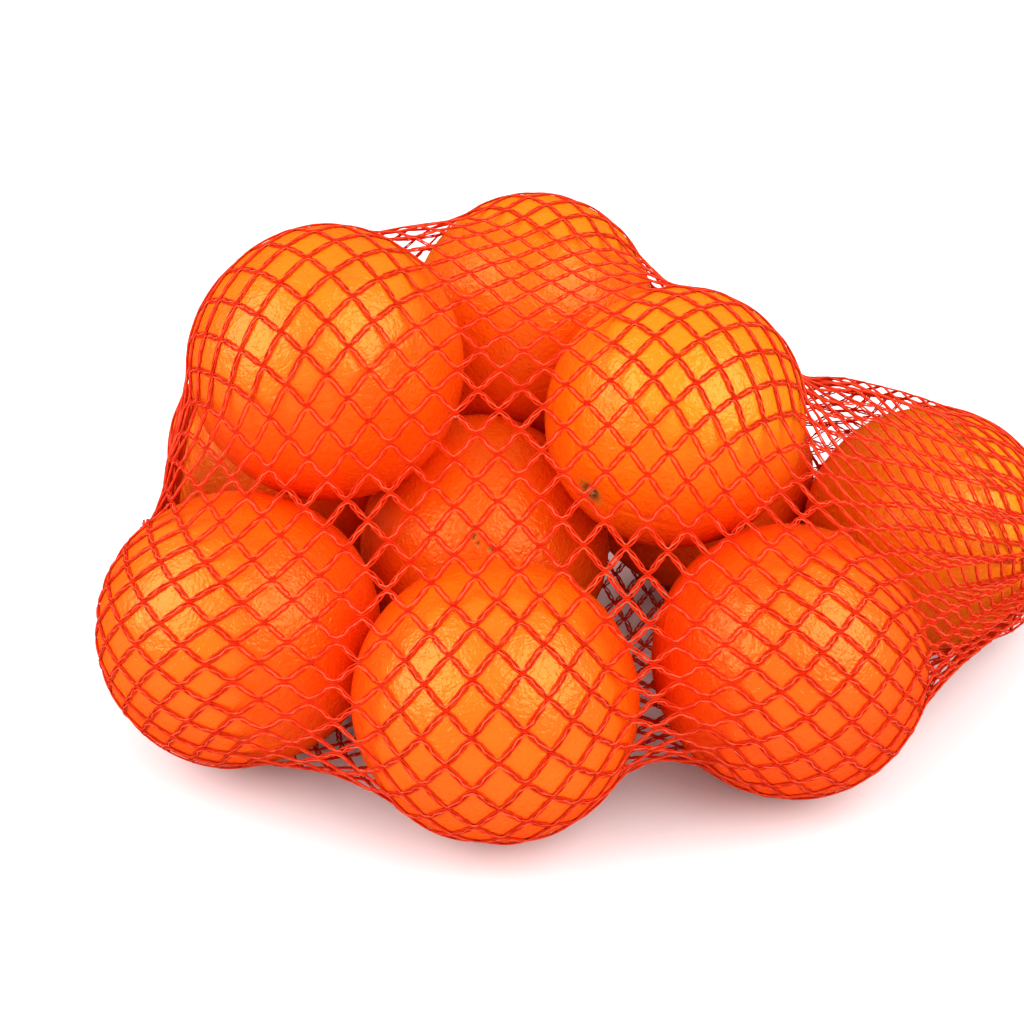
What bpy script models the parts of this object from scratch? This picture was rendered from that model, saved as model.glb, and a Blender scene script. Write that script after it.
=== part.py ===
"""A net of oranges lying on its side.

Seven oranges lie on the table and three rest on top of them. A tight knitted net tube wraps
them all, and each end of the tube is gathered through a crimped metal clip into a short tail.
The wrapped oranges are one solid out to the net: it swells over each orange and runs as a tight
web between neighbours. +Z is up, the tube runs along X, and the origin is under the middle.
"""

import math

import bmesh
import bpy
from mathutils import Vector

COLLECTION = "net_of_oranges"

# Oranges on the table: place of the centre along X and Y, and radius.
TABLE_ORANGES = {
    "front_left": (-0.1203, -0.0350, 0.0407),
    "front_middle": (-0.0465, -0.0678, 0.0398),
    "front_right": (0.0363, -0.0484, 0.0391),
    "middle": (-0.0508, 0.0122, 0.0386),
    "far_right": (0.0883, 0.0225, 0.0385),
    "back_left": (-0.1134, 0.0635, 0.0420),
    "back_right": (0.0187, 0.0557, 0.0382),
}
# Oranges that rest on three others: radius, and the three that carry it, anticlockwise.
RAISED_ORANGES = {
    "top_left": (0.0401, ("front_left", "middle", "back_left")),
    "top_right": (0.0383, ("middle", "front_right", "back_right")),
    "top_back": (0.0385, ("middle", "top_right", "back_right")),
}

# The net.
NET_UNDER = 0.0008  # strands pressed flat between an orange and the table
NET_OVER = 0.0014  # from an orange's skin to the outside of the net
TIGHT, SLACK = 0.87, 0.66  # how far a web reaches, as a share of the oranges' radii
# Oranges that one stretch of net runs between, and how far its web reaches.
WEBS = (
    (TIGHT, ("front_left", "front_middle", "middle")),
    (TIGHT, ("front_middle", "front_right", "middle")),
    (TIGHT, ("front_left", "middle", "back_left")),
    (TIGHT, ("middle", "front_right", "back_right")),
    (TIGHT, ("front_right", "far_right", "back_right")),
    (TIGHT, ("middle", "back_left", "top_back")),
    (TIGHT, ("middle", "back_right", "top_back")),
    (TIGHT, ("top_left", "front_left", "back_left")),
    (TIGHT, ("top_left", "top_right", "front_middle", "front_left")),
    (TIGHT, ("top_left", "top_back", "top_right")),
    (TIGHT, ("top_left", "top_back", "back_left")),
    (SLACK, ("top_back", "back_left", "back_right")),
    (TIGHT, ("top_right", "front_right", "front_middle")),
    (TIGHT, ("top_right", "front_right", "far_right")),
    (TIGHT, ("top_right", "top_back", "back_right", "far_right")),
)
TAPER_TUCK = 0.62  # the same for the cone that runs to a clip
SKIN_CELL = 0.0025  # size of the cells that the wrapped shape is worked out on
SMOOTH_PASSES = 10
KEPT_SHARE = 0.09  # of the wrapped shape's fine triangles

# The two gathered ends: where the wrapped shape stops, and the way that the tail points.
ENDS = {
    "left": (Vector((-0.1545, 0.0340, 0.0180)), Vector((-0.22, 0.97, -0.12))),
    "right": (Vector((0.1375, 0.0255, 0.0270)), Vector((0.97, 0.06, -0.24))),
}
TAPERS = {
    "left": ("front_left", "back_left"),
    "right": ("far_right",),
}
NECK_RADIUS = 0.0036
TIP_RADIUS = 0.0055
GAP = 0.0003  # between pieces that touch

CLIP_START = 0.0010  # along the tail
CLIP_LENGTH = 0.0075
CLIP_WALL = 0.0014
CLIP_EDGE = 0.0004
TAIL_NECK_END = 0.0105
TAIL_LENGTH = 0.0330
TAIL_HALF_WIDTH = 0.0095
TAIL_FLATNESS = 0.48  # thickness over width at the tail's end
TAIL_RUFFLES = 6
TAIL_RUFFLE_DEPTH = 0.14
TAIL_STEPS = 8
TURNED_SIDES = 36

# Colours are linear red, green, blue.
ORANGE_PEEL = (0.90, 0.21, 0.012, 1.0)
NET_RED = (0.75, 0.035, 0.015, 1.0)
CLIP_METAL = (0.72, 0.72, 0.73, 1.0)


def clear_scene():
    """Remove what the scene starts with."""
    for thing in list(bpy.data.objects):
        bpy.data.objects.remove(thing, do_unlink=True)


def new_collection(name):
    """Add a collection to the scene."""
    made = bpy.data.collections.new(name)
    bpy.context.scene.collection.children.link(made)
    return made


def new_material(name, colour, roughness, metallic):
    """A plain Principled material."""
    material = bpy.data.materials.new(name)
    material.use_nodes = True
    shader = material.node_tree.nodes["Principled BSDF"]
    shader.inputs["Base Color"].default_value = colour
    shader.inputs["Roughness"].default_value = roughness
    shader.inputs["Metallic"].default_value = metallic
    return material


def object_from(bm, name, collection, material=None):
    """Turn a bmesh into a smooth-shaded object."""
    mesh = bpy.data.meshes.new(name)
    bm.normal_update()
    bm.to_mesh(mesh)
    bm.free()
    mesh.shade_smooth()
    made = bpy.data.objects.new(name, mesh)
    collection.objects.link(made)
    if material:
        mesh.materials.append(material)
    return made


def resting_place(balls, radius):
    """Centre of a ball that touches three others from above.

    The balls are (centre, radius) and run anticlockwise seen from above.
    """
    (first, r1), (second, r2), (third, r3) = balls
    reach1, reach2, reach3 = r1 + radius, r2 + radius, r3 + radius
    along = (second - first).normalized()
    span = (second - first).length
    offset = third - first
    share = along.dot(offset)
    across = (offset - share * along).normalized()
    depth = across.dot(offset)
    x = (reach1**2 - reach2**2 + span**2) / (2 * span)
    y = (reach1**2 - reach3**2 + share**2 + depth**2 - 2 * share * x) / (2 * depth)
    z = math.sqrt(reach1**2 - x**2 - y**2)
    return first + x * along + y * across + z * along.cross(across)


def place_oranges():
    """Every orange as its name: (centre, radius)."""
    placed = {}
    for name, (x, y, radius) in TABLE_ORANGES.items():
        placed[name] = (Vector((x, y, NET_UNDER + radius)), radius)
    for name, (radius, carriers) in RAISED_ORANGES.items():
        carried = resting_place([placed[carrier] for carrier in carriers], radius)
        placed[name] = (carried, radius)
    return placed


def add_ball(bm, centre, radius):
    """Add a round ball."""
    ball = bmesh.ops.create_icosphere(bm, subdivisions=4, radius=radius)
    bmesh.ops.translate(bm, verts=ball["verts"], vec=centre)


def round_directions():
    """Unit vectors spread evenly over a ball."""
    bm = bmesh.new()
    bmesh.ops.create_icosphere(bm, subdivisions=3, radius=1.0)
    directions = [vert.co.copy() for vert in bm.verts]
    bm.free()
    return directions


def add_web(bm, balls, directions):
    """Add the tight skin round some balls: their convex hull."""
    verts = [bm.verts.new(centre + radius * way) for centre, radius in balls for way in directions]
    hull = bmesh.ops.convex_hull(bm, input=verts, use_existing_faces=False)
    inside = {v for v in hull["geom_interior"] if isinstance(v, bmesh.types.BMVert)}
    bmesh.ops.delete(bm, geom=list(inside), context="VERTS")


def wrapped_shape(oranges):
    """Oranges, webs between them and the cones to the clips, all overlapping."""
    bm = bmesh.new()
    directions = round_directions()
    for centre, radius in oranges.values():
        add_ball(bm, centre, radius + NET_OVER)
    for tuck, names in WEBS:
        web = [(centre, radius * tuck) for centre, radius in map(oranges.get, names)]
        add_web(bm, web, directions)
    for side, names in TAPERS.items():
        tip, away = ENDS[side]
        cone = [(centre, radius * TAPER_TUCK) for centre, radius in map(oranges.get, names)]
        cone.append((tip + away.normalized() * TIP_RADIUS, TIP_RADIUS))
        add_web(bm, cone, directions)
    bmesh.ops.recalc_face_normals(bm, faces=bm.faces[:])
    return bm


def add_cutter(target, cutter):
    """Cut one object out of another."""
    cut = target.modifiers.new("cut_" + cutter.name, "BOOLEAN")
    cut.operation = "DIFFERENCE"
    cut.solver = "EXACT"
    cut.object = cutter
    cutter.hide_render = True
    cutter.display_type = "WIRE"


def make_table_cutter(collection):
    """A slab whose top is the table, for the flat spots that the net rests on."""
    bm = bmesh.new()
    bmesh.ops.create_cube(bm, size=1.0)
    bmesh.ops.translate(bm, verts=bm.verts, vec=(0, 0, -0.5))
    return object_from(bm, "table_cutter", collection)


def make_end_cutter(side, collection):
    """A cylinder over a tail and its clip, so that the wrapped shape ends square at the neck."""
    bm = bmesh.new()
    length = TAIL_LENGTH
    bmesh.ops.create_cone(
        bm,
        cap_ends=True,
        segments=TURNED_SIDES,
        radius1=2 * TIP_RADIUS,
        radius2=2 * TIP_RADIUS,
        depth=length,
    )
    bmesh.ops.translate(bm, verts=bm.verts, vec=(0, 0, length / 2))
    cutter = object_from(bm, side + "_end_cutter", collection)
    stand_at_end(cutter, side)
    return cutter


def stand_at_end(thing, side):
    """Put a piece at a gathered end, with its own +Z along the tail."""
    tip, away = ENDS[side]
    thing.location = tip
    thing.rotation_euler = away.to_track_quat("Z", "Y").to_euler()


def make_filled_net(oranges, collection, cutters, material):
    """The wrapped oranges as one solid."""
    filled = object_from(wrapped_shape(oranges), "filled_net", collection, material)
    skin = filled.modifiers.new("skin", "REMESH")
    skin.mode = "VOXEL"
    skin.voxel_size = SKIN_CELL
    skin.use_smooth_shade = True
    smooth = filled.modifiers.new("smooth", "SMOOTH")
    smooth.factor = 0.5
    smooth.iterations = SMOOTH_PASSES
    thin = filled.modifiers.new("thin", "DECIMATE")
    thin.ratio = KEPT_SHARE
    add_cutter(filled, make_table_cutter(cutters))
    for side in ENDS:
        add_cutter(filled, make_end_cutter(side, cutters))
    return filled


def turned(profile, name, collection, material):
    """A closed piece turned round Z from an outline of (radius, height), bottom to top."""
    bm = bmesh.new()
    verts = [bm.verts.new((radius, 0, height)) for radius, height in profile]
    edges = [bm.edges.new(pair) for pair in zip(verts, verts[1:])]
    bmesh.ops.spin(
        bm,
        geom=verts + edges,
        cent=(0, 0, 0),
        axis=(0, 0, 1),
        angle=2 * math.pi,
        steps=TURNED_SIDES,
        use_merge=True,
    )
    bmesh.ops.remove_doubles(bm, verts=bm.verts, dist=1e-6)
    bmesh.ops.recalc_face_normals(bm, faces=bm.faces[:])
    return object_from(bm, name, collection, material)


def tail_profile():
    """Outline of a tail before it is flattened: a neck that flares like a brush."""
    outline = [(0, GAP), (NECK_RADIUS, GAP), (NECK_RADIUS, TAIL_NECK_END)]
    flare = TAIL_LENGTH - TAIL_NECK_END
    for step in range(1, TAIL_STEPS + 1):
        share = step / TAIL_STEPS
        radius = NECK_RADIUS + (TAIL_HALF_WIDTH - NECK_RADIUS) * math.sin(share * math.pi / 2)
        outline.append((radius, TAIL_NECK_END + flare * share))
    outline.append((0, TAIL_LENGTH))
    return outline


def make_tail(side, collection, material):
    """The gathered net beyond a clip, flat and ruffled at its end."""
    tail = turned(tail_profile(), side + "_tail", collection, material)
    for vert in tail.data.vertices:
        share = max(0.0, (vert.co.z - TAIL_NECK_END) / (TAIL_LENGTH - TAIL_NECK_END))
        ruffle = TAIL_RUFFLE_DEPTH * share * math.cos(TAIL_RUFFLES * math.atan2(vert.co.y, vert.co.x))
        vert.co.x *= 1 + ruffle
        vert.co.y *= (1 + ruffle) * (1 - (1 - TAIL_FLATNESS) * math.sqrt(share))
    tail.data.set_sharp_from_angle(angle=math.radians(50))
    stand_at_end(tail, side)
    return tail


def make_clip(side, collection, material):
    """The crimped metal band round a neck."""
    inner = NECK_RADIUS + GAP
    outer = inner + CLIP_WALL
    top = CLIP_START + CLIP_LENGTH
    edge = CLIP_EDGE
    outline = [
        (inner, CLIP_START),
        (outer - edge, CLIP_START),
        (outer, CLIP_START + edge),
        (outer, top - edge),
        (outer - edge, top),
        (inner, top),
        (inner, CLIP_START),
    ]
    clip = turned(outline, side + "_clip", collection, material)
    clip.data.set_sharp_from_angle(angle=math.radians(40))
    stand_at_end(clip, side)
    return clip


def main():
    clear_scene()
    pieces = new_collection(COLLECTION)
    cutters = new_collection("cutters")
    peel = new_material("orange_peel", ORANGE_PEEL, 0.42, 0.0)
    net = new_material("net_strand", NET_RED, 0.45, 0.0)
    metal = new_material("clip_metal", CLIP_METAL, 0.35, 1.0)
    make_filled_net(place_oranges(), pieces, cutters, peel)
    for side in ENDS:
        make_tail(side, pieces, net)
        make_clip(side, pieces, metal)


if __name__ == "__main__":
    main()
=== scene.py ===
"""A net of oranges lying on its side.

Ten oranges lie in a tight red net tube, three of them on top of the other seven. The tube is
knitted from chain-stitched strands that join in a diamond mesh, and each of its ends is gathered
through a crimped metal clip into a short tail. Lengths are in metres and +Z is up.
"""

import sys
import logging
import math
from dataclasses import dataclass, field
from enum import Enum

import bmesh
import bpy
import numpy as np
from mathutils import Matrix, Vector, noise


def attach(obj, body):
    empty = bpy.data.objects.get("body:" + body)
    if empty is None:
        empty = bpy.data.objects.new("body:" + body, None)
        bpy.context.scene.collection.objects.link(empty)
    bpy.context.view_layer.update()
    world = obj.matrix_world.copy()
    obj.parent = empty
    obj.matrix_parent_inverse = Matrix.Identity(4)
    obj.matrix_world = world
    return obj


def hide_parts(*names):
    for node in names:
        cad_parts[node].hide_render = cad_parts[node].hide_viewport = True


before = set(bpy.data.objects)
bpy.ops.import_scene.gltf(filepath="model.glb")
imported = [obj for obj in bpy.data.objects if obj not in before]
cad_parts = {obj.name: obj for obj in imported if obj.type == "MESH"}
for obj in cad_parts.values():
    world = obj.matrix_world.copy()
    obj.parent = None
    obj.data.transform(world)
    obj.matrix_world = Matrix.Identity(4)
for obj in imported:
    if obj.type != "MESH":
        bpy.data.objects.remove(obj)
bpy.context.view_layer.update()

BODY = "root"
LOG = logging.getLogger("net_of_oranges")

Colour = tuple[float, float, float, float]


class End(Enum):
    """The two gathered ends of the net tube."""

    LEFT = "left"
    RIGHT = "right"


class Mark(Enum):
    """What can spoil or finish a stretch of peel."""

    SCAR = "scar"
    PIT = "pit"
    GREEN = "green"


# ---------------------------------------------------------------------------------------------
# Small helpers
# ---------------------------------------------------------------------------------------------


def smooth_step(values: np.ndarray, start: float, end: float) -> np.ndarray:
    """Rise smoothly from 0 at start to 1 at end."""
    share = np.clip((values - start) / (end - start), 0.0, 1.0)
    return share * share * (3.0 - 2.0 * share)


def lengths(vectors: np.ndarray) -> np.ndarray:
    """Length of each vector, with the last axis kept for dividing."""
    return np.sqrt((vectors * vectors).sum(-1, keepdims=True)) + 1e-12


def unit(vectors: np.ndarray) -> np.ndarray:
    """Each vector made one long."""
    return vectors / lengths(vectors)


def linked_object(name: str, data: bpy.types.ID) -> bpy.types.Object:
    """An object at the origin that shows the data."""
    made = bpy.data.objects.new(name, data)
    bpy.context.scene.collection.objects.link(made)
    return made


def object_from(bm: bmesh.types.BMesh, name: str, material: bpy.types.Material) -> bpy.types.Object:
    """Turn a bmesh into a smooth-shaded object.

    Args:
        bm: The mesh being worked on; it is freed.
        name: Name of the piece.
        material: Its finish.

    Returns:
        The new object, at the origin.
    """
    bmesh.ops.recalc_face_normals(bm, faces=bm.faces)
    mesh = bpy.data.meshes.new(name)
    bm.to_mesh(mesh)
    bm.free()
    mesh.shade_smooth()
    mesh.materials.append(material)
    return linked_object(name, mesh)


def report(piece: bpy.types.Object) -> None:
    """Log a finished piece and the number of its faces."""
    LOG.info("%s: %d faces", piece.name, len(piece.data.polygons))


class Shader:
    """A material's nodes, with short ways to add and join them."""

    def __init__(self, name: str) -> None:
        """Start a material with its Principled shader."""
        self.material = bpy.data.materials.new(name)
        self.material.use_nodes = True
        self.tree = self.material.node_tree
        self.surface = self.tree.nodes["Principled BSDF"]

    def node(self, kind: str, sockets: dict | None = None, **settings) -> bpy.types.Node:
        """Add a node.

        Args:
            kind: The node's type, without its ShaderNode prefix.
            sockets: A value or another node's output for each named or numbered input.
            **settings: The node's own settings.

        Returns:
            The new node.
        """
        made = self.tree.nodes.new("ShaderNode" + kind)
        for name, value in settings.items():
            setattr(made, name, value)
        for name, value in (sockets or {}).items():
            if isinstance(value, bpy.types.NodeSocket):
                self.tree.links.new(value, made.inputs[name])
            else:
                made.inputs[name].default_value = value
        return made

    def math(self, operation: str, first: object, second: object = 0.0) -> bpy.types.NodeSocket:
        """Do sums on one or two values."""
        return self.node("Math", {0: first, 1: second}, operation=operation).outputs[0]

    def ease(self, value: object, start: float, end: float) -> bpy.types.NodeSocket:
        """Map a value to rise smoothly from 0 at start to 1 at end."""
        sockets = {"Value": value, "From Min": start, "From Max": end}
        made = self.node("MapRange", sockets, interpolation_type="SMOOTHSTEP")
        return made.outputs["Result"]

    def mix(self, share: object, first: object, second: object) -> bpy.types.NodeSocket:
        """Mix two colours."""
        made = self.node("Mix", data_type="RGBA")
        for index, value in ((0, share), (6, first), (7, second)):
            if isinstance(value, bpy.types.NodeSocket):
                self.tree.links.new(value, made.inputs[index])
            else:
                made.inputs[index].default_value = value
        return made.outputs[2]

    def place(self) -> bpy.types.NodeSocket:
        """The point on the piece, in metres."""
        return self.node("TexCoord").outputs["Object"]

    def noise(self, scale: float, detail: float = 2.0, place: object = None) -> bpy.types.NodeSocket:
        """Soft noise with so many cells to the metre."""
        sockets = {"Vector": place or self.place(), "Scale": scale, "Detail": detail}
        return self.node("TexNoise", sockets).outputs["Fac"]

    def attribute(self, name: str) -> bpy.types.NodeSocket:
        """A value painted on the mesh."""
        return self.node("Attribute", attribute_name=name).outputs["Fac"]

    def set(self, name: str, value: object) -> None:
        """Give one of the surface's sockets a value or an output."""
        if isinstance(value, bpy.types.NodeSocket):
            self.tree.links.new(value, self.surface.inputs[name])
        else:
            self.surface.inputs[name].default_value = value


# ---------------------------------------------------------------------------------------------
# Finishes
# ---------------------------------------------------------------------------------------------


@dataclass(frozen=True)
class PeelFinish:
    """Waxed orange peel: pebbled, pored, and mottled from yellow-orange to red-orange, with painted
    light and shade: yellower on top, redder underneath and deep red where oranges face each other.
    """

    yellow: Colour = (0.950, 0.200, 0.0022, 1.0)
    orange: Colour = (0.940, 0.109, 0.0019, 1.0)
    red: Colour = (0.940, 0.060, 0.0017, 1.0)
    # Painted shade and reflected red light, for peel that faces other oranges.
    painted_crevice_shade: Colour = (0.950, 0.022, 0.0012, 1.0)
    scar: Colour = (0.130, 0.060, 0.018, 1.0)
    green: Colour = (0.420, 0.210, 0.020, 1.0)
    mottle_scale: float = 55.0
    wrinkle_scale: float = 520.0
    pore_scale: float = 800.0
    roughness: float = 0.26
    relief: float = 0.00042
    pore_relief: float = 0.00008
    shine: float = 1.00
    shine_tint: Colour = (1.0, 0.70, 0.21, 1.0)

    def build(self) -> bpy.types.Material:
        """Wire the peel's material."""
        shader = Shader("orange_peel")
        place = shader.place()
        mottle = shader.noise(self.mottle_scale, 3.0, place)
        # The ripeness attribute holds each orange's own tone plus painted light and shade: yellower on
        # top, redder underneath.
        ripeness = shader.attribute("ripeness")
        tone = shader.math("ADD", ripeness, shader.math("MULTIPLY", mottle, 0.5))
        colour = shader.mix(shader.ease(tone, 0.20, 0.75), self.yellow, self.orange)
        colour = shader.mix(shader.ease(tone, 0.70, 1.30), colour, self.red)
        # Painted shade and reflected red light where the peel faces other oranges.
        colour = shader.mix(shader.attribute("painted_crevice_shade"), colour, self.painted_crevice_shade)
        wrinkles = shader.node(
            "TexNoise",
            {"Vector": place, "Scale": self.wrinkle_scale, "Detail": 1.5, "Distortion": 0.8},
        ).outputs["Fac"]
        pores = shader.node(
            "TexVoronoi",
            {"Vector": place, "Scale": self.pore_scale},
            feature="F1",
        ).outputs["Distance"]
        pit = shader.ease(pores, 0.0, 0.45)
        shade = shader.math("MULTIPLY", shader.ease(pores, 0.30, 0.05), 0.25)
        colour = shader.mix(shade, colour, self.red)
        colour = shader.mix(shader.attribute("green"), colour, self.green)
        colour = shader.mix(shader.attribute("scar"), colour, self.scar)
        shader.set("Base Color", colour)
        gloss = shader.math("MULTIPLY", shader.noise(140.0, 2.0, place), 0.10)
        shader.set("Roughness", shader.math("ADD", gloss, self.roughness - 0.05))
        shader.set("IOR", 1.60)
        shader.set("Specular IOR Level", self.shine)
        shader.set("Specular Tint", self.shine_tint)
        fine = shader.node("Bump", {"Strength": 1.0, "Distance": self.pore_relief, "Height": pit})
        coarse = shader.node(
            "Bump",
            {
                "Strength": 1.0,
                "Distance": self.relief,
                "Height": wrinkles,
                "Normal": fine.outputs["Normal"],
            },
        )
        shader.set("Normal", coarse.outputs["Normal"])
        return shader.material


@dataclass(frozen=True)
class StemFinish:
    """The dry woody button where the stem was cut."""

    pale: Colour = (0.450, 0.280, 0.130, 1.0)
    dark: Colour = (0.080, 0.045, 0.018, 1.0)

    def build(self) -> bpy.types.Material:
        """Wire the button's material."""
        shader = Shader("stem_button")
        place = shader.place()
        grain = shader.noise(1500.0, 4.0, place)
        shader.set("Base Color", shader.mix(shader.ease(grain, 0.35, 0.65), self.dark, self.pale))
        shader.set("Roughness", 0.8)
        bump = shader.node("Bump", {"Strength": 0.8, "Distance": 0.0002, "Height": grain})
        shader.set("Normal", bump.outputs["Normal"])
        return shader.material


@dataclass(frozen=True)
class StrandFinish:
    """Drawn plastic filament, bright red and slightly see-through."""

    name: str
    light: Colour
    deep: Colour
    roughness: float = 0.32
    shine_tint: Colour = (1.0, 0.50, 0.28, 1.0)

    def build(self) -> bpy.types.Material:
        """Wire the filament's material."""
        shader = Shader(self.name)
        place = shader.place()
        streak = shader.noise(420.0, 3.0, place)
        shader.set("Base Color", shader.mix(shader.ease(streak, 0.35, 0.65), self.deep, self.light))
        fleck = shader.math("MULTIPLY", shader.noise(1800.0, 1.0, place), 0.2)
        shader.set("Roughness", shader.math("ADD", fleck, self.roughness - 0.1))
        shader.set("IOR", 1.50)
        shader.set("Specular IOR Level", 0.20)
        shader.set("Specular Tint", self.shine_tint)
        return shader.material


@dataclass(frozen=True)
class ClipFinish:
    """Soft aluminium band, rubbed along its edges."""

    bright: Colour = (0.800, 0.800, 0.810, 1.0)
    dull: Colour = (0.560, 0.565, 0.580, 1.0)

    def build(self) -> bpy.types.Material:
        """Wire the band's material."""
        shader = Shader("clip_metal")
        place = shader.place()
        worn = shader.noise(500.0, 4.0, place)
        shader.set("Base Color", shader.mix(shader.ease(worn, 0.4, 0.6), self.dull, self.bright))
        shader.set("Metallic", 0.5)
        grit = shader.math("MULTIPLY", shader.noise(2600.0, 2.0, place), 0.25)
        shader.set("Roughness", shader.math("ADD", grit, 0.22))
        bump = shader.node("Bump", {"Strength": 0.4, "Distance": 0.00008, "Height": worn})
        shader.set("Normal", bump.outputs["Normal"])
        return shader.material


@dataclass(frozen=True)
class FloorFinish:
    """Plain white board."""

    colour: Colour = (0.90, 0.90, 0.90, 1.0)
    roughness: float = 0.9

    def build(self) -> bpy.types.Material:
        """Wire the board's material."""
        shader = Shader("white_board")
        shader.set("Base Color", self.colour)
        shader.set("Roughness", self.roughness)
        return shader.material


# ---------------------------------------------------------------------------------------------
# Oranges
# ---------------------------------------------------------------------------------------------


@dataclass
class Orange:
    """One orange, round but for its lumps, its two ends and its pebbled peel."""

    name: str
    centre: Vector
    radius: float
    stem: tuple[float, float, float]
    seed: int
    ripeness: float = 0.25
    # Painted light and shade: how much yellower the top and redder the underside of the peel are
    # painted.
    painted_light_by_height: float = 0.35
    stretch: float = 0.0
    creases: int = 0
    flats: tuple[tuple[tuple[float, float, float], float], ...] = ()
    marks: tuple[tuple[Mark, tuple[float, float, float], float], ...] = ()
    detail: int = 7
    lump_depth: float = 0.008
    stem_hollow: float = 0.0016
    navel_hollow: float = 0.0008
    crease_depth: float = 0.00035
    pebble_depth: float = 0.00011
    # Painted shade and reflected red light where other oranges come near the peel.
    painted_crevice_shade_depth: float = 0.75
    painted_crevice_shade_reach: float = 0.014
    lumps: list[tuple[Vector, float]] = field(default_factory=list)

    def __post_init__(self) -> None:
        """Draw this orange's own lumps, and add its flattened and swollen places."""
        draw = np.random.default_rng(self.seed)
        for _ in range(6):
            way = Vector(draw.normal(size=3)).normalized()
            self.lumps.append((way, self.lump_depth * float(draw.uniform(0.4, 1.0))))
        for way, depth in self.flats:
            self.lumps.append((Vector(way).normalized(), depth))

    def skin_radius(self, ways: np.ndarray) -> np.ndarray:
        """Distance from the centre to the skin, without the pebbling.

        Args:
            ways: Unit vectors from the centre, one a row.

        Returns:
            One distance for each vector.
        """
        axis = np.array(Vector(self.stem).normalized())
        along = ways @ axis
        share = 1.0 + self.stretch * (1.5 * along**2 - 0.5)
        for way, depth in self.lumps:
            flat = np.clip(ways @ np.array(way), 0.0, 1.0)
            share = share - depth * flat**5
        radii = self.radius * (share - abs(self.stretch))
        off_stem = np.arccos(np.clip(along, -1.0, 1.0))
        off_navel = math.pi - off_stem
        radii = radii - self.stem_hollow * np.exp(-((off_stem / 0.13) ** 2))
        radii = radii - self.navel_hollow * np.exp(-((off_navel / 0.16) ** 2))
        return radii

    def crease_share(self, ways: np.ndarray) -> np.ndarray:
        """How deep the creases that run out from the stem are, from 0 to 1."""
        if not self.creases:
            return np.zeros(len(ways))
        axis = Vector(self.stem).normalized()
        side = axis.orthogonal().normalized()
        other = axis.cross(side)
        along = ways @ np.array(axis)
        turn = np.arctan2(ways @ np.array(other), ways @ np.array(side))
        off_stem = np.arccos(np.clip(along, -1.0, 1.0))
        bent = turn * self.creases + 1.6 * np.sin(2.0 * turn + self.seed) + 2.5 * off_stem
        ridge = np.exp(-((np.sin(bent / 2.0) / 0.22) ** 2))
        near = smooth_step(off_stem, 0.06, 0.22) * (1.0 - smooth_step(off_stem, 0.35, 1.05))
        return ridge * near

    def painted(self, ways: np.ndarray, mark: Mark) -> np.ndarray:
        """How strongly a kind of mark covers each point of the skin, from 0 to 1."""
        cover = np.zeros(len(ways))
        for kind, way, size in self.marks:
            if kind is mark:
                off = np.arccos(np.clip(ways @ np.array(Vector(way).normalized()), -1.0, 1.0))
                cover = np.maximum(cover, 1.0 - smooth_step(off, 0.25 * size, size))
        return cover

    def painted_crevice_shade_share(self, ways: np.ndarray, others: list["Orange"]) -> np.ndarray:
        """How much painted shade and reflected red light each point of the skin gets, from 0 to 1, by
        how closely other oranges press on it.
        """
        points = np.array(self.centre) + ways * self.radius
        free = np.ones(len(ways))
        for other in others:
            if other is not self:
                gap = lengths(points - np.array(other.centre))[:, 0] - other.radius
                free *= 1.0 - self.painted_crevice_shade_depth * np.exp(-np.maximum(gap, 0.0) / self.painted_crevice_shade_reach)
        return 1.0 - free

    def build(self, finish: bpy.types.Material, others: list["Orange"]) -> bpy.types.Object:
        """Make the orange's mesh and paint its peel.

        Args:
            finish: The peel.
            others: The oranges round it; the peel that faces them is painted with shade and reflected
                red light.

        Returns:
            The orange.
        """
        bm = bmesh.new()
        bmesh.ops.create_icosphere(bm, subdivisions=self.detail, radius=1.0)
        made = object_from(bm, f"orange_{self.name}", finish)
        mesh = made.data
        count = len(mesh.vertices)
        flat = np.zeros(count * 3, np.float32)
        mesh.vertices.foreach_get("co", flat)
        ways = unit(flat.reshape(-1, 3).astype(float))
        pebbles = np.empty(count)
        shift = Vector((self.seed * 7.3, self.seed * 1.9, -self.seed * 3.1))
        for index, way in enumerate(ways):
            spot = Vector(way) * self.radius
            coarse = noise.noise(spot * 420.0 + shift)
            fine = noise.noise(spot * 760.0 - shift)
            pebbles[index] = 0.6 * coarse + 0.5 * fine
        pits = self.painted(ways, Mark.PIT)
        radii = self.skin_radius(ways) + self.pebble_depth * pebbles
        radii = radii - self.crease_depth * self.crease_share(ways) - 0.0004 * pits
        points = np.array(self.centre) + ways * radii[:, None]
        mesh.vertices.foreach_set("co", points.astype(np.float32).ravel())
        axis = np.array(Vector(self.stem).normalized())
        off_stem = np.arccos(np.clip(ways @ axis, -1.0, 1.0))
        scar = 1.0 - smooth_step(off_stem, 0.055, 0.110)
        scar = np.maximum(scar, np.maximum(self.painted(ways, Mark.SCAR), pits))
        halo = 0.6 * (1.0 - smooth_step(off_stem, 0.07, 0.18))
        # Painted light and shade: the ripeness attribute also makes each peel yellower on top and redder
        # underneath.
        self._paint(mesh, "ripeness", self.ripeness + self.painted_light_by_height * (0.2 - ways[:, 2]))
        # Painted shade and reflected red light where other oranges face the peel.
        self._paint(mesh, "painted_crevice_shade", self.painted_crevice_shade_share(ways, others))
        self._paint(mesh, "scar", 0.9 * scar)
        self._paint(mesh, "green", np.maximum(halo, self.painted(ways, Mark.GREEN)))
        mesh.update()
        return made

    @staticmethod
    def _paint(mesh: bpy.types.Mesh, name: str, values: np.ndarray) -> None:
        """Store one value for each vertex."""
        layer = mesh.attributes.new(name, "FLOAT", "POINT")
        layer.data.foreach_set("value", values.astype(np.float32))

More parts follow.
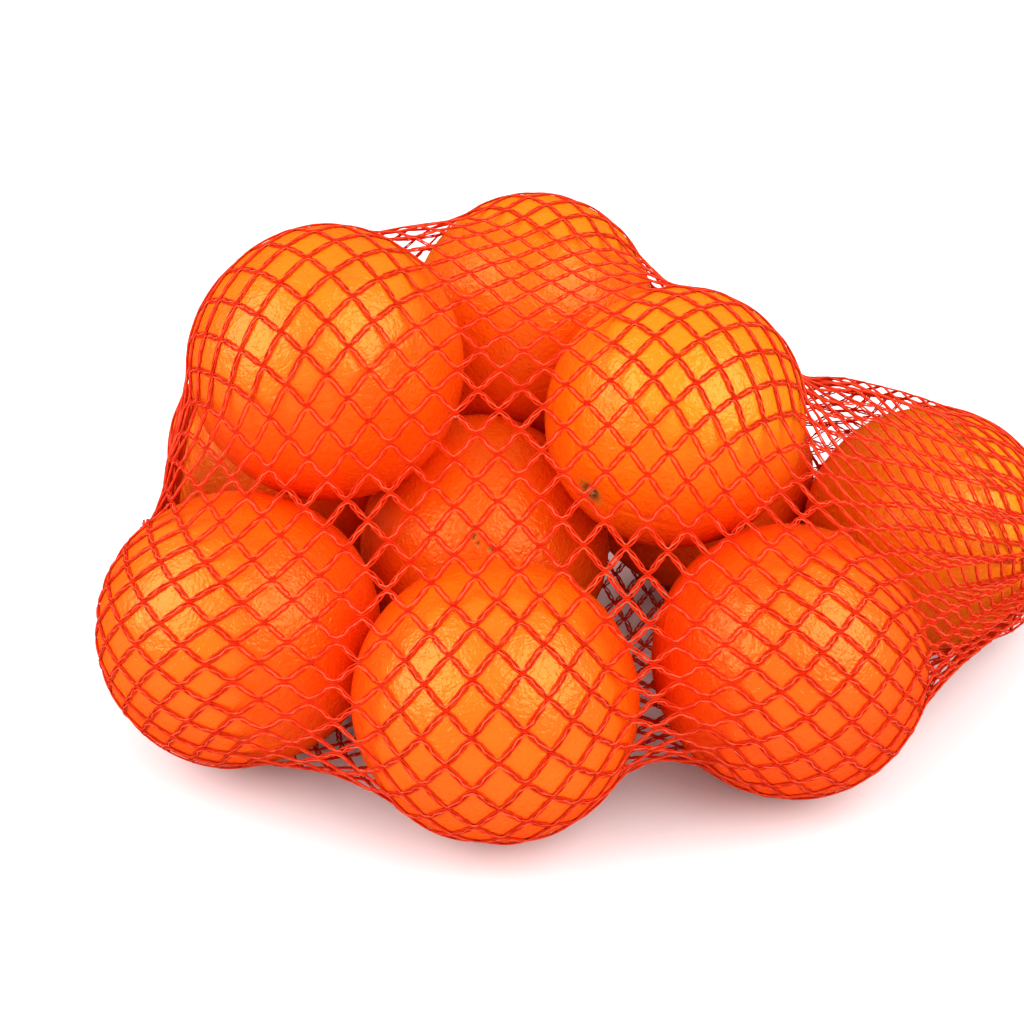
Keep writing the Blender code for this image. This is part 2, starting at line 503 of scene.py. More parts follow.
    def build_stem(self, finish: bpy.types.Material) -> bpy.types.Object:
        """Make the small woody button in the hollow at the stem end.

        Args:
            finish: The dry wood.

        Returns:
            The button.
        """
        way = Vector(self.stem).normalized()
        bm = bmesh.new()
        bmesh.ops.create_circle(bm, cap_ends=True, segments=20, radius=0.0016)
        raised = bmesh.ops.extrude_face_region(bm, geom=list(bm.faces))
        top = [vert for vert in raised["geom"] if isinstance(vert, bmesh.types.BMVert)]
        bmesh.ops.translate(bm, verts=top, vec=(0.0, 0.0, 0.0011))
        rim = [edge for edge in bm.edges if all(vert in top for vert in edge.verts)]
        bmesh.ops.bevel(
            bm, geom=rim, offset=0.0005, segments=2, profile=0.5, affect="EDGES", material=-1
        )
        for vert in bm.verts:
            turn = math.atan2(vert.co.y, vert.co.x)
            lobes = 1.0 + 0.16 * math.cos(5.0 * turn + self.seed)
            dip = 0.0004 * (1.0 - min(vert.co.xy.length / 0.0012, 1.0))
            vert.co.x *= lobes
            vert.co.y *= lobes
            vert.co.z -= dip if vert.co.z > 0.0006 else 0.0
        seat = float(self.skin_radius(np.array([way]))[0]) - 0.0005
        turned = way.to_track_quat("Z", "Y").to_matrix().to_4x4()
        place = Matrix.Translation(self.centre + way * seat) @ turned
        bmesh.ops.transform(bm, verts=bm.verts, matrix=place)
        return object_from(bm, f"stem_{self.name}", finish)


@dataclass
class Heap:
    """The ten oranges: seven on the table, and three that each rest on others."""

    net_under: float = 0.0008
    table: dict[str, tuple[float, float, float]] = field(
        default_factory=lambda: {
            "front_left": (-0.1203, -0.0350, 0.0407),
            "front_middle": (-0.0465, -0.0678, 0.0398),
            "front_right": (0.0363, -0.0484, 0.0391),
            "middle": (-0.0508, 0.0122, 0.0386),
            "far_right": (0.0883, 0.0225, 0.0385),
            "back_left": (-0.1134, 0.0635, 0.0420),
            "back_right": (0.0187, 0.0557, 0.0382),
        }
    )
    raised: dict[str, tuple[float, tuple[str, str, str]]] = field(
        default_factory=lambda: {
            "top_left": (0.0401, ("front_left", "middle", "back_left")),
            "top_right": (0.0383, ("middle", "front_right", "back_right")),
            "top_back": (0.0385, ("middle", "top_right", "back_right")),
        }
    )
    character: dict[str, dict] = field(
        default_factory=lambda: {
            "front_left": {
                "stem": (-0.15, 0.66, 0.74),
                "ripeness": 0.55,
                "stretch": -0.010,
                "creases": 7,
                "marks": ((Mark.GREEN, (-0.570, -0.631, 0.526), 0.055),),
            },
            "front_middle": {
                "stem": (0.10, 0.68, 0.73),
                "ripeness": 0.55,
                "stretch": -0.012,
                "creases": 8,
            },
            "front_right": {"stem": (0.75, 0.10, -0.65), "ripeness": 0.85, "stretch": 0.008},
            "middle": {
                "stem": (-0.70, 0.55, -0.45),
                "ripeness": 0.15,
                "flats": (((-0.14, 0.47, 0.87), -0.060),),
                "marks": (
                    (Mark.PIT, (-0.064, -0.798, 0.599), 0.040),
                    (Mark.PIT, (0.079, -0.848, 0.524), 0.050),
                    (Mark.PIT, (-0.030, -0.830, 0.556), 0.024),
                ),
            },
            "far_right": {"stem": (0.85, 0.45, 0.25), "ripeness": 0.05, "stretch": 0.008},
            "back_left": {"stem": (-0.60, 0.75, 0.20), "ripeness": 0.30},
            "back_right": {"stem": (0.30, 0.90, -0.30), "ripeness": 0.35},
            "top_left": {
                "stem": (-0.65, 0.70, -0.30),
                "ripeness": 0.42,
                "flats": (((-0.71, 0.37, 0.60), 0.045), ((0.71, -0.37, -0.60), -0.020)),
            },
            "top_right": {
                "stem": (-0.680, -0.690, -0.265),
                "ripeness": 0.05,
                "stretch": 0.012,
                "creases": 7,
            },
            "top_back": {
                "stem": (0.45, 0.80, 0.35),
                "ripeness": -0.60,
                "creases": 6,
                "flats": (((-0.60, -0.40, -0.69), -0.045),),
            },
        }
    )

    @staticmethod
    def resting_place(balls: list[tuple[Vector, float]], radius: float) -> Vector:
        """Centre of a ball that touches three others from above.

        Args:
            balls: Centre and radius of the three, anticlockwise seen from above.
            radius: The ball's own radius.

        Returns:
            Its centre.
        """
        (first, r1), (second, r2), (third, r3) = balls
        reach1, reach2, reach3 = r1 + radius, r2 + radius, r3 + radius
        along = (second - first).normalized()
        span = (second - first).length
        offset = third - first
        share = along.dot(offset)
        across = (offset - share * along).normalized()
        depth = across.dot(offset)
        x = (reach1**2 - reach2**2 + span**2) / (2 * span)
        y = (reach1**2 - reach3**2 + share**2 + depth**2 - 2 * share * x) / (2 * depth)
        z = math.sqrt(reach1**2 - x**2 - y**2)
        return first + x * along + y * across + z * along.cross(across)

    def oranges(self) -> list[Orange]:
        """Every orange in its place."""
        placed: dict[str, tuple[Vector, float]] = {}
        for name, (x, y, radius) in self.table.items():
            placed[name] = (Vector((x, y, self.net_under + radius)), radius)
        for name, (radius, carriers) in self.raised.items():
            held_by = [placed[carrier] for carrier in carriers]
            placed[name] = (self.resting_place(held_by, radius), radius)
        return [
            Orange(name, centre, radius, seed=index + 1, **self.character[name])
            for index, (name, (centre, radius)) in enumerate(placed.items())
        ]


# ---------------------------------------------------------------------------------------------
# Net
# ---------------------------------------------------------------------------------------------


@dataclass
class Skin:
    """The oranges as the net feels them: balls for pulling it tight, true skins for laying it."""

    oranges: list[Orange]
    stand_off: float = 0.0005
    floor: float = 0.0004

    def __post_init__(self) -> None:
        """Keep the centres and radii as arrays."""
        self.centres = np.array([tuple(orange.centre) for orange in self.oranges])
        self.radii = np.array([orange.radius for orange in self.oranges])

    def push_out(self, points: np.ndarray) -> np.ndarray:
        """Move points that are inside a ball to its surface, and those below the floor up to it."""
        squares = (points * points).sum(1)[:, None] + (self.centres * self.centres).sum(1)[None]
        squares = squares - 2.0 * points @ self.centres.T
        depths = self.radii + self.stand_off - np.sqrt(np.maximum(squares, 1e-12))
        deepest = depths.argmax(1)
        depth = depths[np.arange(len(points)), deepest]
        inside = depth > 0.0
        ways = unit(points[inside] - self.centres[deepest[inside]])
        points[inside] += ways * depth[inside][:, None]
        points[:, 2] = np.maximum(points[:, 2], self.floor)
        return points

    def lay(self, points: np.ndarray, lift: float, fade: float = 0.003) -> tuple[np.ndarray, np.ndarray]:
        """Lay points on the true skins that they touch.

        Args:
            points: Points near the balls' surfaces, one a row.
            lift: Height above the skin to lay them at.
            fade: Distance from a ball at which a point no longer follows it.

        Returns:
            The laid points, and how much each touches: 1 on an orange and 0 away from all.
        """
        laid = points.copy()
        gaps = self.gaps(points)
        nearest = gaps.argmin(1)
        gap = gaps[np.arange(len(points)), nearest]
        touch = 1.0 - smooth_step(gap, 0.0, fade)
        for index, orange in enumerate(self.oranges):
            near = (nearest == index) & (gap < fade)
            if near.any():
                ways = unit(points[near] - self.centres[index])
                skin = orange.skin_radius(ways)
                resting = orange.radius + self.stand_off
                shift = (skin + lift - resting) * touch[near]
                reach = resting + np.maximum(gap[near], 0.0) + shift
                laid[near] = self.centres[index] + ways * reach[:, None]
        return laid, touch

    def gaps(self, points: np.ndarray) -> np.ndarray:
        """Distance of each point from each ball."""
        return np.stack(
            [
                lengths(points - centre)[:, 0] - radius - self.stand_off
                for centre, radius in zip(self.centres, self.radii)
            ],
            axis=1,
        )

    def clearance(self, points: np.ndarray) -> np.ndarray:
        """Distance of each point from the nearest ball, or 0 where it touches one."""
        return np.maximum(self.gaps(points).min(1), 0.0)

    def outward(self, points: np.ndarray) -> np.ndarray:
        """The way out of the nearest ball at each point."""
        return unit(points - self.centres[self.gaps(points).argmin(1)])


@dataclass
class Trellis:
    """Joints of the net in rings round the tube, each tied to two of the ring before and after."""

    joints: np.ndarray

    @property
    def rings(self) -> int:
        """Number of rings."""
        return self.joints.shape[0]

    @property
    def around(self) -> int:
        """Number of joints in a ring."""
        return self.joints.shape[1]

    def frames(self) -> tuple[np.ndarray, np.ndarray, np.ndarray]:
        """Ways along the tube, round it and out of it at each joint."""
        joints = self.joints
        along = np.zeros_like(joints)
        for ring in range(self.rings):
            step = -1 if ring % 2 == 0 else 1
            after = before = joints[ring]
            if ring + 1 < self.rings:
                after = (joints[ring + 1] + np.roll(joints[ring + 1], -step, axis=0)) / 2.0
            if ring > 0:
                before = (joints[ring - 1] + np.roll(joints[ring - 1], -step, axis=0)) / 2.0
            along[ring] = after - before
        along = unit(along)
        around = np.roll(joints, -1, axis=1) - np.roll(joints, 1, axis=1)
        around = unit(around - along * (around * along).sum(-1, keepdims=True))
        return along, around, unit(np.cross(around, along))

    def spacing(self) -> np.ndarray:
        """Half the distance between a joint's two neighbours in its ring."""
        return lengths(np.roll(self.joints, -1, axis=1) - np.roll(self.joints, 1, axis=1)) / 2.0


@dataclass
class KnitStitch:
    """How one strand is drawn: a chain of loops with an inlaid thread, joined to its neighbour."""

    rail_radius: float = 0.00029
    inlay_radius: float = 0.00021
    inlay_sway: float = 0.35
    half_width: float = 0.00066
    pinched: float = 0.00054
    joint_reach: float = 0.0006
    joint_offset: float = 0.00044
    joint_width: float = 0.00024
    lift: float = 0.00034
    inlay_lift: float = 0.00018
    full_spacing: float = 0.0038
    loop: tuple[float, ...] = (1.0, 0.0, 1.0)


@dataclass
class KnitPiece:
    """Draws a trellis as knitted strands: two filaments a strand and a thread laid between them."""

    trellis: Trellis
    stitch: KnitStitch
    skin: Skin | None = None

    def _ring_walk(self, strand: int) -> tuple[np.ndarray, np.ndarray]:
        """Which joint of each ring a strand passes, and on which side of it."""
        rings = np.arange(self.trellis.rings)
        odd_ring = rings % 2
        if strand % 2 == 0:
            joint = np.full(len(rings), strand // 2)
            side = np.where(odd_ring == 0, 1.0, -1.0)
        else:
            joint = np.where(odd_ring == 0, (strand + 1) // 2, (strand - 1) // 2)
            side = np.where(odd_ring == 0, -1.0, 1.0)
        return joint % self.trellis.around, side

    def centre_lines(self) -> dict[str, np.ndarray]:
        """Middle of every strand, with what is needed to lay its filaments either side.

        Returns:
            Arrays of strands by samples: point, out, width, hand (which way the thread lies) and
            size (how much room the net leaves there, from 0 to 1).
        """
        stitch, trellis = self.stitch, self.trellis
        along, around, out = trellis.frames()
        room = np.clip(trellis.spacing() / stitch.full_spacing, 0.10, 1.0)
        steps, sway = len(stitch.loop) + 1, stitch.inlay_sway
        point, ways, width, hand, size = [], [], [], [], []
        for strand in range(2 * trellis.around):
            joint, side = self._ring_walk(strand)
            ring = np.arange(trellis.rings)
            here = trellis.joints[ring, joint]
            scale = room[ring, joint]
            beside = here + side[:, None] * stitch.joint_offset * scale * around[ring, joint]
            reach = stitch.joint_reach * along[ring, joint]
            into, leave = beside - reach, beside + reach
            normal = out[ring, joint]
            points, normals, widths, hands, sizes = [], [], [], [], []
            for index in range(trellis.rings):
                for spot in (into[index], leave[index]):
                    points.append(spot)
                    normals.append(normal[index])
                    widths.append(stitch.joint_width)
                    sizes.append(scale[index, 0])
                hands += [-2.2 * side[index], -2.2 * side[index]]
                if index + 1 == trellis.rings:
                    break
                for step in range(1, steps):
                    share = step / steps
                    points.append(leave[index] * (1 - share) + into[index + 1] * share)
                    normals.append(normal[index] * (1 - share) + normal[index + 1] * share)
                    full = stitch.loop[step - 1]
                    widths.append(stitch.pinched + (stitch.half_width - stitch.pinched) * full)
                    sizes.append(scale[index, 0] * (1 - share) + scale[index + 1, 0] * share)
                    hands.append(sway if (step + strand) % 2 else -sway)
            point.append(points)
            ways.append(normals)
            width.append(widths)
            hand.append(hands)
            size.append(sizes)
        return {
            "point": np.array(point),
            "out": unit(np.array(ways)),
            "width": np.array(width),
            "hand": np.array(hand),
            "size": np.array(size),
        }

    def filaments(self) -> dict[str, np.ndarray]:
        """Paths of both rails and of the inlaid thread, as strands by samples."""
        lines = self.centre_lines()
        point, out = lines["point"], lines["out"]
        shape = point.shape
        if self.skin is not None:
            flat, touch = self.skin.lay(point.reshape(-1, 3), self.stitch.lift)
            point = flat.reshape(shape)
            touch = touch.reshape(shape[:2])[..., None]
            away = self.skin.outward(flat).reshape(shape)
            out = unit(out * (1.0 - touch) + away * touch)
            low = self.skin.floor
            point[..., 2] = np.maximum(point[..., 2], low)
        tangent = np.gradient(point, axis=1)
        side = unit(np.cross(out, tangent))
        size = lines["size"][..., None]
        reach = lines["width"][..., None] * size * side
        thread = point + reach * lines["hand"][..., None] + self.stitch.inlay_lift * size * out
        rails = {"left": point + reach, "right": point - reach, "thread": thread, "size": lines["size"]}
        if self.skin is not None:
            for name in ("left", "right", "thread"):
                rails[name][..., 2] = np.maximum(rails[name][..., 2], self.stitch.rail_radius)
        return rails

    def _curve_mesh(
        self, name: str, paths: list[np.ndarray], sizes: list[np.ndarray], radius: float
    ) -> bpy.types.Mesh:
        """Sweep a round filament along each path and make it one mesh.

        Args:
            name: Name of the mesh.
            paths: Points of each filament.
            sizes: Thickness at each point, as a share of the radius.
            radius: Full radius of the filament.

        Returns:
            The mesh.
        """
        curve = bpy.data.curves.new(name, "CURVE")
        curve.dimensions = "3D"
        curve.bevel_depth = radius
        curve.bevel_resolution = 0
        curve.use_fill_caps = True
        for path, size in zip(paths, sizes):
            spline = curve.splines.new("POLY")
            spline.points.add(len(path) - 1)
            padded = np.concatenate([path, np.ones((len(path), 1))], axis=1)
            spline.points.foreach_set("co", padded.astype(np.float32).ravel())
            spline.points.foreach_set("radius", size.astype(np.float32))
            spline.use_smooth = True
        holder = linked_object(name + "_curve", curve)
        bpy.context.view_layer.update()
        graph = bpy.context.evaluated_depsgraph_get()
        mesh = bpy.data.meshes.new_from_object(holder.evaluated_get(graph))
        bpy.data.objects.remove(holder, do_unlink=True)
        bpy.data.curves.remove(curve)
        mesh.name = name
        mesh.materials.clear()
        return mesh

    def build(
        self, name: str, parts: int, rail: bpy.types.Material, thread: bpy.types.Material
    ) -> list[bpy.types.Object]:
        """Make the knitted strands.

        Args:
            name: What the pieces' names start with.
            parts: Number of pieces to share the strands among.
            rail: Finish of the loops.
            thread: Finish of the inlaid thread.

        Returns:
            The pieces.
        """
        paths = self.filaments()
        strands = len(paths["left"])
        thick = 0.45 + 0.55 * paths["size"]
        made = []
        for part in range(parts):
            chosen = range(part * strands // parts, (part + 1) * strands // parts)
            rails = [paths[side][strand] for strand in chosen for side in ("left", "right")]
            sizes = [thick[strand] for strand in chosen for _ in range(2)]
            label = f"{name}_strands_{part + 1}"
            mesh = self._curve_mesh(label, rails, sizes, self.stitch.rail_radius)
            mesh.materials.append(rail)
            made.append(linked_object(label, mesh))
        threads = max(1, parts // 2)
        for part in range(threads):
            chosen = range(part * strands // threads, (part + 1) * strands // threads)
            label = f"{name}_inlay_{part + 1}"
            runs = [paths["thread"][strand] for strand in chosen]
            sizes = [thick[strand] for strand in chosen]
            mesh = self._curve_mesh(label, runs, sizes, self.stitch.inlay_radius)
            mesh.materials.append(thread)
            made.append(linked_object(label, mesh))
        return made


@dataclass(frozen=True)
class Patch:
    """A patch of the net: some rings of it, all the way round or only over part of the tube."""

    ring: float
    half: float
    facing: float = 0.0
    window: float = math.inf
    slant: float = 0.0
    lean: float = 1.25 * math.pi

    def share(self, turns: np.ndarray) -> np.ndarray:
        """How far inside the patch each joint is: 1 at its middle and 0 outside.

        Args:
            turns: Angle of every joint round the tube, a ring in each row.

        Returns:
            One share for each joint.
        """
        centre = self.ring + self.slant * np.cos(turns - self.lean)
        off = (np.arange(len(turns))[:, None] - centre) / self.half
        aside = np.abs((turns - self.facing + math.pi) % (2.0 * math.pi) - math.pi) / self.window
        return np.clip(1.0 - off**2, 0.0, 1.0) * np.clip(1.0 - aside**2, 0.0, 1.0)


@dataclass(frozen=True)
class Gather:
    """A patch where the net is drawn in round the tube, until its joints are a gap apart."""

    patch: Patch
    gap: float
    pull: float

    def hold(self, turns: np.ndarray) -> np.ndarray:
        """How strongly each joint is drawn to the next in its ring, from 0 to 1."""
        share = self.patch.share(turns)
        return (share + np.roll(share, -1, axis=1))[..., None] / 2.0

    def drawn_in(self, grid: np.ndarray, hold: np.ndarray) -> np.ndarray:
        """Move of each joint towards its neighbours in the ring, where they are too far apart."""
        gaps = np.roll(grid, -1, axis=1) - grid
        pull = gaps * np.clip(1.0 - self.gap / lengths(gaps), 0.0, 1.0) * hold * self.pull
        return (pull - np.roll(pull, 1, axis=1)).reshape(-1, 3)


@dataclass
class NetTube:
    """The net tube, pulled tight over the oranges between its two gathered ends."""

    skin: Skin
    necks: dict[End, tuple[Vector, Vector]]
    rings: int = 66
    around: int = 40
    bar: float = 0.0071
    bar_limit: float = 0.0127
    neck_radius: float = 0.0032
    steps: int = 2200
    settle_steps: int = 150
    momentum: float = 0.9
    pull: float = 1.44
    longest_move: float = 0.004
    left_rings: int = 10
    right_rings: int = 8
    left_edge: float = -0.150
    right_edge: float = 0.118
    room: float = 0.012
    shear_places: tuple[float, ...] = (0.0, 0.1, 0.45, 0.62, 0.8, 1.0)
    shear_shares: tuple[float, ...] = (0.0, -0.18, -0.14, 0.18, 0.18, 0.1)
    gathers: tuple[Gather, ...] = (
        Gather(Patch(49.0, 3.9, slant=3.3), 0.0079, 0.5),
        Gather(Patch(36.3, 2.8, 1.3 * math.pi, 0.35 * math.pi), 0.0083, 0.25),
    )
    billows: tuple[tuple[Patch, float], ...] = (
        (Patch(23.7, 5.5, 0.36 * math.pi, 0.35 * math.pi), 0.22),
        (Patch(9.4, 5.5, 0.72 * math.pi, 0.30 * math.pi), 0.28),
        (Patch(47.3, 5.5, 0.28 * math.pi, 0.35 * math.pi), 0.20),
    )

    def _girth(self, x: float, centre: np.ndarray, turns: np.ndarray) -> np.ndarray:
        """Reach of a tight loop round the slice of the heap at x, from a point of that slice."""
        swollen = (self.skin.radii + self.room) ** 2 - (x - self.skin.centres[:, 0]) ** 2
        cut = swollen > 0.0
        slices = np.sqrt(swollen[cut])
        sweep = np.linspace(0.0, 2.0 * math.pi, 180, endpoint=False)
        normals = np.stack([np.cos(sweep), np.sin(sweep)], axis=1)
        reach = (self.skin.centres[cut][:, 1:] - centre) @ normals.T + slices[:, None]
        support = np.maximum(reach.max(0), 0.004)
        facing = np.cos(turns[:, None] - sweep[None])
        return np.where(facing > 1e-3, support[None] / np.maximum(facing, 1e-3), 9.0).min(1)

    def _turns(self, ring: int) -> np.ndarray:
        """Angles of a ring's joints round the tube."""
        return 2.0 * math.pi * (np.arange(self.around) + 0.5 * (ring % 2)) / self.around

    def _loose(self) -> np.ndarray:
        """The tube drawn loosely over the heap, before it is pulled tight."""
        joints = np.zeros((self.rings, self.around, 3))
        middle = self.rings - self.left_rings - self.right_rings - 1
        for ring in range(self.rings):
            share, x, shown = 1.0, 0.0, 0.0
            end = End.LEFT
            if ring < self.left_rings:
                share = (ring + 0.3) / self.left_rings
                x = self.left_edge
                shown = x - 0.022 * (1.0 - share**2)
            elif ring >= self.rings - self.right_rings:
                end = End.RIGHT
                share = (self.rings - 1 - ring + 0.3) / self.right_rings
                x = self.right_edge
                shown = x + 0.022 * (1.0 - share**2)
            else:
                span = self.right_edge - self.left_edge
                x = shown = self.left_edge + span * (ring - self.left_rings) / middle
            tilt = (x - self.left_edge) / (self.right_edge - self.left_edge)
            centre = np.array([0.012 + 0.010 * tilt, 0.055 - 0.012 * tilt])
            turns = self._turns(ring)
            reach = self._girth(x, centre, turns) * min(1.0, share**0.6)
            tip = np.array(self.necks[end][0])[1:]
            drawn = centre * share + tip * (1.0 - share)
            joints[ring, :, 0] = shown
            joints[ring, :, 1] = drawn[0] + reach * np.cos(turns)
            joints[ring, :, 2] = np.maximum(drawn[1] + reach * np.sin(turns), self.skin.floor)
        joints[0] = self.neck_ring(End.LEFT, 0, self.neck_radius)
        joints[-1] = self.neck_ring(End.RIGHT, self.rings - 1, self.neck_radius)
        return joints

    def neck_axes(self, end: End) -> tuple[np.ndarray, np.ndarray, np.ndarray]:
        """The way a neck points, and two ways across it that follow the rings' turn."""
        away = unit(np.array(self.necks[end][1]))
        first = np.array([0.0, 1.0, 0.0])
        first = first - away * (first @ away)
        if math.sqrt(first @ first) < 0.3:
            first = np.array([1.0, 0.0, 0.0]) if away[1] > 0 else np.array([-1.0, 0.0, 0.0])
            first = first - away * (first @ away)
        first = unit(first)
        second = np.array([0.0, 0.0, 1.0])
        second = second - away * (second @ away)
        second = unit(second - first * (second @ first))
        return away, first, second

    def neck_ring(self, end: End, ring: int, radius: float) -> np.ndarray:
        """Joints of the ring that is gathered at a neck."""
        _, first, second = self.neck_axes(end)
        turns = self._turns(ring)
        across = np.cos(turns)[:, None] * first + np.sin(turns)[:, None] * second
        return np.array(self.necks[end][0]) + radius * across

    def _ties(self) -> tuple[np.ndarray, np.ndarray, np.ndarray]:
        """Each joint's up to four neighbours, the slack lengths to them, and which are real."""
        number = np.arange(self.rings * self.around).reshape(self.rings, self.around)
        neighbours: list[list[int]] = [[] for _ in range(number.size)]
        slack: list[list[float]] = [[] for _ in range(number.size)]
        for ring in range(self.rings - 1):
            shear = float(np.interp(ring / (self.rings - 1), self.shear_places, self.shear_shares))
            step = -1 if ring % 2 == 0 else 1
            for shift, family in ((0, -step), (step, step)):
                length = self.bar * (1.0 + family * shear)
                for index in range(self.around):
                    here = number[ring, index]
                    there = number[ring + 1, (index + shift) % self.around]
                    for one, other in ((here, there), (there, here)):
                        neighbours[one].append(other)
                        slack[one].append(length)
        real = np.array([[slot < len(own) for slot in range(4)] for own in neighbours])
        filled = np.array([own + [0] * (4 - len(own)) for own in neighbours])
        rest = np.array([own + [self.bar] * (4 - len(own)) for own in slack])
        return filled, rest, real

    def pull_tight(self) -> Trellis:
        """Pull the loose tube tight over the oranges.

        Returns:
            The joints of the tight net.
        """
        neighbours, rest, real = self._ties()
        points = self._loose().reshape(-1, 3)
        pinned = np.zeros(len(points), bool)
        pinned[: self.around] = True
        pinned[-self.around :] = True
        before = points.copy()
        turns = np.array([self._turns(ring) for ring in range(self.rings)])
        holds = [gather.hold(turns) for gather in self.gathers]
        for step in range(self.steps):
            ties = points[neighbours] - points[:, None, :]
            length = lengths(ties)[..., 0]
            stretch = 0.5 * (1.0 - rest / length)
            over = np.maximum(length - self.bar_limit, 0.0) / length
            weight = np.where(real, 0.5 * stretch + over, 0.0)
            move = (ties * weight[..., None]).sum(1) * self.pull / 4.0
            grid = points.reshape(self.rings, self.around, 3)
            for gather, hold in zip(self.gathers, holds):
                move = move + gather.drawn_in(grid, hold)
            if step >= self.settle_steps:
                move = move + self.momentum * (points - before)
            size = lengths(move)
            move = move * np.minimum(1.0, self.longest_move / size)
            moved = self.skin.push_out(points + move)
            if step % 4 == 0 or step > self.steps - 50:
                moved = self.skin.push_out(moved)
            moved[pinned] = points[pinned]
            before, points = points, moved
        return self._billowed(Trellis(points.reshape(self.rings, self.around, 3)), turns)

    def _billowed(self, tight: Trellis, turns: np.ndarray) -> Trellis:
        """Let the webs between some oranges stand out a little further than the pull leaves them."""
        _, _, out = tight.frames()
        free = self.skin.clearance(tight.joints.reshape(-1, 3)).reshape(self.rings, self.around)
        share = sum(patch.share(turns) * rise for patch, rise in self.billows)
        return Trellis(tight.joints + out * (free * share)[..., None])


@dataclass
class GatheredTail:
    """The short end of the net beyond its clip, flared into a ruffled tuft."""

    end: End
    tube: NetTube
    rings: int = 9
    length: float = 0.0300
    neck_end: float = 0.0105
    half_width: float = 0.0072
    flatness: float = 0.48
    ruffles: int = 6
    ruffle_depth: float = 0.16

    def trellis(self) -> Trellis:
        """Joints of the tail, from the neck to its cut end."""
        away, first, second = self.tube.neck_axes(self.end)
        tip = np.array(self.tube.necks[self.end][0])
        ring_shift = 0 if self.end is End.LEFT else self.tube.rings - 1
        turns_of = [self.tube._turns(ring_shift + ring) for ring in range(self.rings)]
        joints = np.zeros((self.rings, self.tube.around, 3))
        draw = np.random.default_rng(20 if self.end is End.LEFT else 21)
        for ring, turns in enumerate(turns_of):
            reach = self.length * ring / (self.rings - 1)
            flare = float(smooth_step(np.array(reach), 0.6 * self.neck_end, self.length))
            width = self.tube.neck_radius * 0.9 * (1.0 - flare) + self.half_width * flare
            flat = 1.0 - (1.0 - self.flatness) * flare
            wave = 1.0 + self.ruffle_depth * flare * np.sin(self.ruffles * turns)
            across = (width * wave * np.cos(turns))[:, None] * first
            across = across + (width * flat * wave * np.sin(turns))[:, None] * second
            ragged = draw.normal(0.0, 0.0006 * flare, (self.tube.around, 1))
            joints[ring] = tip + away * (reach + ragged) + across
        if self.end is End.LEFT:
            return Trellis(joints[:, ::-1].copy())
        return Trellis(joints)

    def build(self, rail: bpy.types.Material, thread: bpy.types.Material) -> list[bpy.types.Object]:
        """Make the tail's strands."""
        stitch = KnitStitch(loop=(1.0, 0.0, 1.0), joint_reach=0.0005, half_width=0.00040)
        return KnitPiece(self.trellis(), stitch).build(f"{self.end.value}_tail", 1, rail, thread)


@dataclass
class Clip:
    """A soft metal band rolled round the gathered net and crimped shut."""

    end: End
    tip: Vector
    away: Vector
    start: float = 0.0010
    length: float = 0.0075
    inner: float = 0.0039
    wall: float = 0.0013
    segments: int = 48
    crimps: int = 4
    crimp_depth: float = 0.09

    def build(self, finish: bpy.types.Material) -> bpy.types.Object:
        """Make the band and its turned-over lip.

        Args:
            finish: The metal.

        Returns:
            The clip.
        """
        bm = bmesh.new()
        ring = bmesh.ops.create_circle(
            bm, cap_ends=False, segments=self.segments, radius=self.inner + self.wall
        )
        edges = list(bm.edges)
        bmesh.ops.translate(bm, verts=ring["verts"], vec=(0.0, 0.0, self.start))
        rows = 10
        for _ in range(rows):
            grown = bmesh.ops.extrude_edge_only(bm, edges=edges)["geom"]
            verts = [part for part in grown if isinstance(part, bmesh.types.BMVert)]
            edges = [part for part in grown if isinstance(part, bmesh.types.BMEdge)]
            bmesh.ops.translate(bm, verts=verts, vec=(0.0, 0.0, self.length / rows))
        for vert in bm.verts:
            share = (vert.co.z - self.start) / self.length
            turn = math.atan2(vert.co.y, vert.co.x)
            belly = math.sin(math.pi * min(max(share, 0.0), 1.0))
            dent = abs(math.cos(self.crimps * turn / 2.0)) ** 6
            ribs = 0.03 * math.cos(6.0 * math.pi * share)
            squeeze = 1.0 - self.crimp_depth * dent * belly + ribs * belly
            vert.co.x *= squeeze
            vert.co.y *= squeeze
        bmesh.ops.recalc_face_normals(bm, faces=bm.faces)
        bmesh.ops.solidify(bm, geom=list(bm.faces), thickness=self.wall)
        rims = [
            edge
            for edge in bm.edges
            if edge.calc_face_angle(0.0) > math.radians(60.0)
        ]
        bmesh.ops.bevel(
            bm, geom=rims, offset=0.00035, segments=2, profile=0.5, affect="EDGES", material=-1
        )
        turned = self.away.to_track_quat("Z", "Y").to_matrix().to_4x4()
        bmesh.ops.transform(bm, verts=bm.verts, matrix=Matrix.Translation(self.tip) @ turned)
        return object_from(bm, f"{self.end.value}_crimp", finish)


# ---------------------------------------------------------------------------------------------
# Studio
# ---------------------------------------------------------------------------------------------


@dataclass
class SoftBox:
    """A square studio light that faces the heap."""

    name: str
    way: tuple[float, float, float]
    distance: float
    size: float
    power: float

    def build(self, target: Vector) -> None:
        """Hang the light and aim it."""
        lamp = bpy.data.lights.new(self.name, "AREA")
        lamp.shape = "SQUARE"
        lamp.size = self.size
        lamp.energy = self.power
        holder = linked_object(self.name, lamp)
        way = Vector(self.way).normalized()
        holder.location = target + way * self.distance
        holder.rotation_euler = way.to_track_quat("Z", "Y").to_euler()


